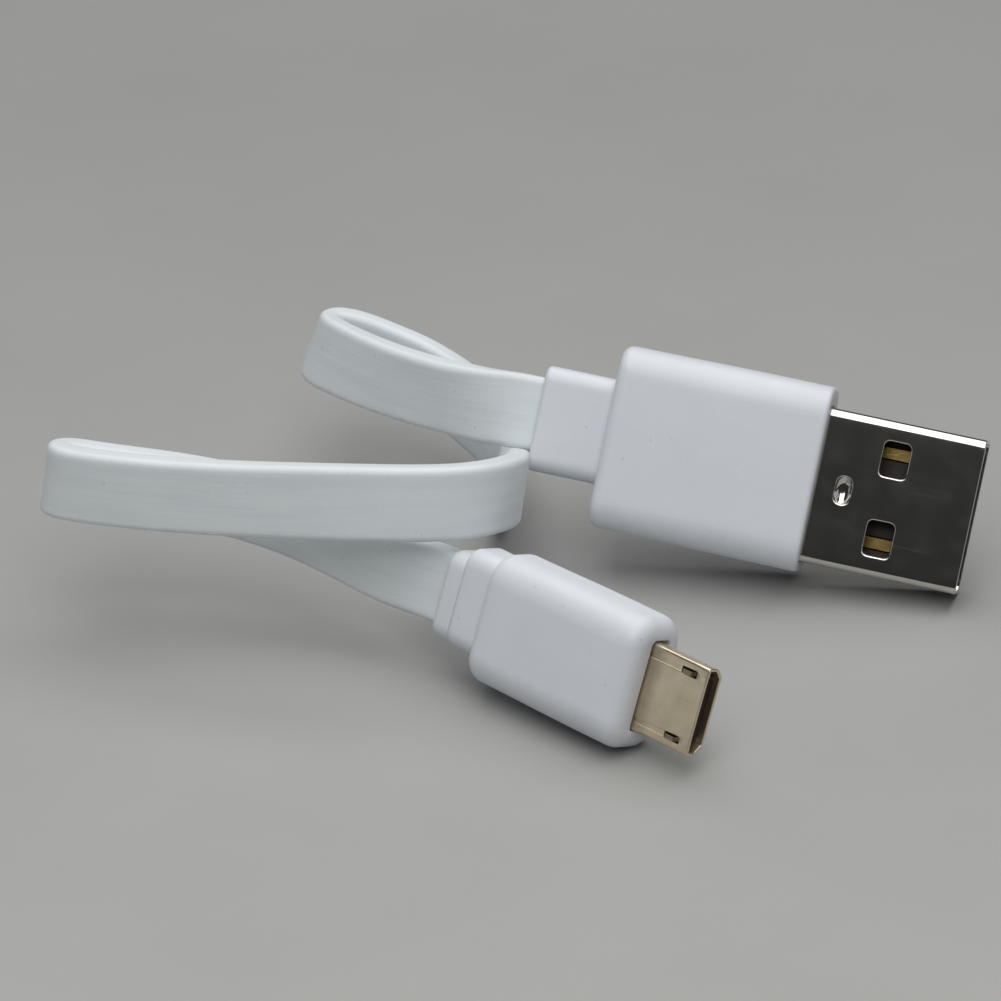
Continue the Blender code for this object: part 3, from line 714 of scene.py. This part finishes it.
largeHousing = {
    "front": 0.0, "length": 16.5 * mm, "width": 14.4 * mm, "thick": 7.5 * mm, "centre": (0.35 * mm, 0),
    "edgeRadius": 2.2 * mm, "rearRound": 0.8 * mm, "frontRound": 0.35 * mm, "taper": 0.1 * mm,
    "crown": 0.06 * mm, "partLine": 0.006 * mm,
    "mouth": (12.12 * mm, 4.62 * mm, 0.66 * mm), "mouthRound": 0.15 * mm, "mouthDepth": 0.9 * mm,
}
smallHousing = {
    "front": -0.2 * mm, "length": 15.1 * mm, "width": 10.4 * mm, "thick": 5.9 * mm, "centre": (0, 0.2 * mm),
    "edgeRadius": 2.3 * mm, "rearRound": 1.1 * mm, "frontRound": 1.3 * mm, "taper": 0.12 * mm,
    "crown": 0.06 * mm, "partLine": 0.006 * mm,
    "mouth": (7.12 * mm, 2.1 * mm, 0.45 * mm), "mouthRound": 0.08 * mm, "mouthDepth": 1.1 * mm,
}
buildHousing("largePlugHousing", largePlug, largeHousing, "usb_a_housing")
buildHousing("smallPlugHousing", smallPlug, smallHousing, "micro_b_housing")
print("housings built")


reliefMake = {
    "slotRings": ((1.4 * mm, 0), (0.2 * mm, 0), (0.06 * mm, 0.04 * mm), (0, 0.14 * mm)),
    "leastRadius": 0.25 * mm, "crown": 0.02 * mm, "straightAt": (0.35, 0.7, 0.9),
    "flareAt": ((0.95, 0.04), (0.98, 0.1), (1.0, 0.2)), "tuck": 0.7 * mm,
}


def buildRelief(name, plug, size, replaced):
    # its steps run from the cord's end to the housing
    slotWidth, slotThick, slotRadius = size["slot"]
    slotCentre = (size["slotOffset"], 0)
    rear = size["steps"][0]["rear"]

    def outline(step, inset):
        radius = max(step["radius"] - inset, reliefMake["leastRadius"])
        return roundedLoop(step["width"] - 2 * inset, step["thick"] - 2 * inset, radius,
                           (step["offset"], 0), crown=reliefMake["crown"], partLine=size["partLine"])

    rings = []
    for x, gap in reliefMake["slotRings"]:
        loop = roundedLoop(slotWidth + 2 * gap, slotThick + 2 * gap, slotRadius + gap, slotCentre)
        rings.append(ringAt(rear + x, loop))
    for step in size["steps"]:
        rings += [ringAt(x, outline(step, inset)) for x, inset in rearEdge(step["rear"], size["rearRound"])]
        length = step["front"] - step["rear"] - size["rearRound"]
        for share in reliefMake["straightAt"]:
            rings.append(ringAt(step["rear"] + size["rearRound"] + length * share, outline(step, 0)))
        for share, flare in reliefMake["flareAt"]:
            x = step["rear"] + size["rearRound"] + length * share
            rings.append(ringAt(x, outline(step, -flare * size["flare"])))
    last, fullFlare = size["steps"][-1], reliefMake["flareAt"][-1][1]
    rings.append(ringAt(last["front"] + reliefMake["tuck"], outline(last, -fullFlare * size["flare"])))
    mesh = meshFromRings(name, rings)
    showPiece(name, mesh, whitePlastic, [replaced], plugMatrix(plug))


largeRelief = {
    "steps": [{"rear": -22.06 * mm, "front": -16.5 * mm, "width": 8.2 * mm, "thick": 3.8 * mm,
               "offset": 0.55 * mm, "radius": 1.1 * mm}],
    "slot": (6.0 * mm, 2.0 * mm, 0.7 * mm), "slotOffset": 0.75 * mm, "rearRound": 0.4 * mm,
    "flare": 1.0 * mm, "partLine": 0.005 * mm,
}
smallRelief = {
    "steps": [{"rear": -20.06 * mm, "front": -18.2 * mm, "width": 6.9 * mm, "thick": 3.8 * mm,
               "offset": 0.05 * mm, "radius": 1.2 * mm},
              {"rear": -18.26 * mm, "front": -15.3 * mm, "width": 7.8 * mm, "thick": 4.4 * mm,
               "offset": 0.4 * mm, "radius": 1.3 * mm}],
    "slot": (6.0 * mm, 2.0 * mm, 0.7 * mm), "slotOffset": 0.15 * mm, "rearRound": 0.6 * mm,
    "flare": 0.0, "partLine": 0.005 * mm,
}
buildRelief("largeStrainRelief", largePlug, largeRelief, "usb_a_strain_relief")
buildRelief("smallStrainRelief", smallPlug, smallRelief, "micro_b_strain_relief")
print("strain reliefs built")

# metal shells
largeShell = {
    "width": 12.0 * mm, "thick": 4.5 * mm, "wall": 0.3 * mm, "tip": 12.2 * mm, "rear": -6.0 * mm,
    "cornerRadius": 0.6 * mm, "tipRound": 0.1 * mm, "windowAt": 5.63 * mm, "windowSpacing": 6.16 * mm,
    "window": (2.1 * mm, 2.72 * mm), "windowRadius": 0.45 * mm, "windowRim": 0.13 * mm,
    "insideRadius": 0.3 * mm, "seam": 0.05 * mm, "seamDepth": 0.12 * mm, "seamAside": 1.1 * mm,
    "seamStops": (-1 * mm, 4 * mm, 6.4 * mm, 14 * mm),
    "dimpleAt": 2.2 * mm, "dimple": (1.2 * mm, 2.1 * mm), "dimpleDepth": 0.45 * mm,
    "dimpleLip": 0.1 * mm, "dimpleSink": 0.04 * mm, "dimpleSkin": 0.12 * mm,
}


def shellRings(outer, inner, rear, tip, edge):
    # a tube of sheet metal: out along the outside, round the tip, and back along the inside
    tipStart = tip - 1.5 * mm
    rings = [ringAt(x, outer(0)) for x in (rear, rear + 1 * mm, tipStart)]
    for turn in quarterTurn(4):
        rings.append(ringAt(tip - edge * (1 - math.sin(turn)), outer(edge * (1 - math.cos(turn)))))
    for turn in quarterTurn(3):
        rings.append(ringAt(tip - edge * (1 - math.cos(turn)), inner(edge * (1 - math.sin(turn)))))
    rings += [ringAt(x, inner(0)) for x in (tipStart, rear)]
    return rings


def buildLargeShell():
    size = largeShell
    insideWidth, insideThick = size["width"] - 2 * size["wall"], size["thick"] - 2 * size["wall"]

    def outer(inset):
        return roundedLoop(size["width"] - 2 * inset, size["thick"] - 2 * inset, size["cornerRadius"])

    def inner(inset):
        return roundedLoop(insideWidth + 2 * inset, insideThick + 2 * inset, size["insideRadius"])

    rings = shellRings(outer, inner, size["rear"], size["tip"], size["tipRound"])
    mesh = meshFromRings("largePlugShell", rings, closed=True)
    piece = showPiece("largePlugShell", mesh, nickelPlate, ["usb_a_shell"],
                      plugMatrix(largePlug))
    cutters = []
    for side in (-1, 1):
        cutters.append(boxMesh("window", span(size["windowAt"], size["window"][0]),
                               span(side * size["windowSpacing"] / 2, size["window"][1]),
                               span(0, size["thick"] + 2 * mm), size["windowRadius"], 2))
    dimpleLong, dimpleWide = size["dimple"]
    cutters.append(boxMesh("dimpleHole", span(size["dimpleAt"], dimpleLong), span(0, dimpleWide),
                           (1 * mm, size["thick"]), dimpleLong * 0.47, 2, 8))
    cutAway(piece, cutters, size["windowRim"])
    # a fine seam where the sheet meets itself on the back face, with a step to one side
    back, half = -size["thick"] / 2, size["seam"] / 2
    depth = (back - 0.1 * mm, back + size["seamDepth"])
    stops, seam = size["seamStops"], []
    for xs, at in zip(zip(stops, stops[1:]), (0, size["seamAside"], 0)):
        seam.append(boxMesh("seam", xs, span(at, size["seam"]), depth))
    for x in stops[1:3]:
        seam.append(boxMesh("seamTurn", span(x, size["seam"]), (-half, size["seamAside"] + half), depth))
    cutAway(piece, seam)


def buildDimple():
    # a pressed oval cup that closes the hole near the housing
    size = largeShell
    half = [wide / 2 + size["dimpleLip"] for wide in size["dimple"]]
    top = size["thick"] / 2 - size["dimpleSink"]
    sides, rings = 32, []
    for skin in (0, size["dimpleSkin"]):
        ringsHere = []
        for turn in quarterTurn(8)[1:]:
            reach, drop = math.sin(turn), math.cos(turn) * size["dimpleDepth"] + skin
            ring = []
            for i in range(sides):
                a = 2 * math.pi * i / sides
                ring.append(Vector((size["dimpleAt"] + half[0] * reach * math.cos(a),
                                    half[1] * reach * math.sin(a), top - drop)))
            ringsHere.append(ring)
        rings += ringsHere if skin == 0 else ringsHere[::-1]
    mesh = meshFromRings("largeShellDimple", rings)
    showPiece("largeShellDimple", mesh, nickelPlate, [], plugMatrix(largePlug))


buildLargeShell()
buildDimple()
print("large shell built")

smallShell = {
    "width": 6.85 * mm, "thick": 1.8 * mm, "wall": 0.25 * mm, "tip": 5.2 * mm, "rear": -4.5 * mm,
    "chamfer": 0.68 * mm, "shoulder": (2.25 * mm, 0.07 * mm), "tipRound": 0.07 * mm,
    "outsideRadius": 0.28 * mm, "insideRadius": 0.1 * mm,
    "slotAt": 3.5 * mm, "slotSide": 2.55 * mm, "slot": (1.5 * mm, 0.55 * mm), "slotRim": 0.05 * mm,
    "slotRadius": 0.1 * mm, "slotHeights": (0.2 * mm, 2 * mm),
    "groove": (0.4 * mm, 0.05 * mm), "grooveStart": -3 * mm,
}


def softCorners(points, radius, steps=4):
    # rounds every corner of an outline
    loop = []
    for i, point in enumerate(points):
        point = Vector(point)
        before, after = Vector(points[i - 1]) - point, Vector(points[(i + 1) % len(points)]) - point
        reach = min(radius, before.length * 0.45, after.length * 0.45)
        first, last = point + before.normalized() * reach, point + after.normalized() * reach
        for step in range(steps + 1):
            share = step / steps
            loop.append(first.lerp(point, share).lerp(point.lerp(last, share), share))
    return [(p.x, p.y) for p in loop]


def buildSmallShell():
    size = smallShell
    shoulderAt, shoulderDrop = size["shoulder"]

    def outline(inset, radius):
        side, top = size["width"] / 2 - inset, size["thick"] / 2 - inset
        cut = size["chamfer"] - 0.4 * inset  # the slant is shorter inside the wall
        half = [(shoulderAt, top), (side, top - shoulderDrop), (side, -top + cut), (side - cut, -top)]
        other = [(-y, z) for y, z in reversed(half)]
        return softCorners(half + other, radius)

    def outer(inset):
        return outline(inset, size["outsideRadius"])

    def inner(inset):
        return outline(size["wall"] - inset, size["insideRadius"])

    rings = shellRings(outer, inner, size["rear"], size["tip"], size["tipRound"])
    mesh = meshFromRings("smallPlugShell", rings, closed=True)
    piece = showPiece("smallPlugShell", mesh, champagnePlate, ["micro_b_shell"],
                      plugMatrix(smallPlug))
    grooveBottom = size["thick"] / 2 - size["groove"][1] - 0.03 * mm
    cutters = []
    for side in (-1, 1):
        at = side * size["slotSide"]
        cutters.append(boxMesh("slot", span(size["slotAt"], size["slot"][0]), span(at, size["slot"][1]),
                               size["slotHeights"], size["slotRadius"], 2, 3))
        cutters.append(boxMesh("groove", (size["grooveStart"], size["slotAt"]), span(at, size["groove"][0]),
                               (grooveBottom, 2 * mm)))
    cutAway(piece, cutters, size["slotRim"], 2)


buildSmallShell()
print("small shell built")

# floor, lights and camera
studio = {
    "floorColour": (0.345, 0.345, 0.335, 1), "floorSecond": (0.325, 0.325, 0.315, 1),
    "frontLight": {"place": (-0.05, -0.42, 0.62), "size": 0.55, "power": 2.6},
    "overheadLight": {"place": (0.04, 0.20, 0.74), "size": 0.9, "power": 5.1},
    "rightCard": {"place": (0.60, -0.45, 0.40), "size": 0.5, "power": 0.35},
    "leftCard": {"place": (-0.85, -0.20, 0.14), "size": 0.42, "power": 0.35},
    # painted light: the floor is painted up to 1.22 times brighter towards the camera, in place of the light
    # falling more strongly on the near floor
    "nearPaintedLight": 1.22, "nearAt": -0.075, "farAt": 0.10,
    "room": 0.03, "roomColour": (0.95, 0.98, 1.0, 1), "aim": (0, 0, 0.005),
}


def buildFloor():
    bm = bmesh.new()
    bmesh.ops.create_grid(bm, x_segments=8, y_segments=8, size=1.6)
    mesh = bpy.data.meshes.new("paleFloor")
    bm.to_mesh(mesh)
    bm.free()
    floor = bpy.data.objects.new("paleFloor", mesh)
    bpy.context.scene.collection.objects.link(floor)
    made, tree, shader = newMaterial("floorCard", **{"Specular IOR Level": 0.2})
    cloud = useGroup(tree, softMottle, color=studio["floorColour"], secondColor=studio["floorSecond"],
                     scale=35.0, amount=0.7, roughness=0.7, glossChange=0.1)
    place = addNode(tree, "SeparateXYZ")
    tree.links.new(addNode(tree, "TexCoord").outputs["Object"], place.inputs[0])
    # painted light: the floor colour is scaled up from the far edge to the near edge, a painted brightening
    # towards the camera and not a change in the card itself
    paintedLightLift = rangeOf(tree, place.outputs[1], studio["farAt"], studio["nearAt"], 1.0, studio["nearPaintedLight"])
    paintedLitFloorColour = addNode(tree, "VectorMath", operation="SCALE")
    tree.links.new(cloud["Color"], paintedLitFloorColour.inputs[0])
    tree.links.new(paintedLightLift, paintedLitFloorColour.inputs["Scale"])
    tree.links.new(paintedLitFloorColour.outputs[0], shader.inputs["Base Color"])
    tree.links.new(cloud["Roughness"], shader.inputs["Roughness"])
    mesh.materials.append(made)


def addSoftLight(name, given):
    light = bpy.data.lights.new(name, "AREA")
    light.shape = "SQUARE"
    light.size = given["size"]
    light.energy = given["power"]
    lamp = bpy.data.objects.new(name, light)
    lamp.location = given["place"]
    lamp.rotation_euler = (Vector(studio["aim"]) - Vector(given["place"])).to_track_quat("-Z", "Y").to_euler()
    bpy.context.scene.collection.objects.link(lamp)


buildFloor()
addSoftLight("frontSoftbox", studio["frontLight"])
addSoftLight("overheadSoftbox", studio["overheadLight"])
addSoftLight("rightCard", studio["rightCard"])
addSoftLight("leftCard", studio["leftCard"])
world = bpy.data.worlds.new("dimRoom")
world.use_nodes = True
world.node_tree.nodes["Background"].inputs["Color"].default_value = studio["roomColour"]
world.node_tree.nodes["Background"].inputs["Strength"].default_value = studio["room"]
bpy.context.scene.world = world
bpy.context.scene.view_settings.view_transform = "Standard"

view = {"place": (-0.01619, -0.52286, 0.2789), "elevation": 27.0, "lens": 281.6,
        "sensor": 36.0, "nearest": 0.02}
camera = bpy.data.cameras.new("mainView")
camera.lens = view["lens"]
camera.sensor_width = view["sensor"]
camera.clip_start = view["nearest"]
cameraObject = bpy.data.objects.new("mainView", camera)
cameraObject.location = view["place"]
cameraObject.rotation_euler = (math.radians(90 - view["elevation"]), 0, 0)
bpy.context.scene.collection.objects.link(cameraObject)
bpy.context.scene.camera = cameraObject
print("stage ready")
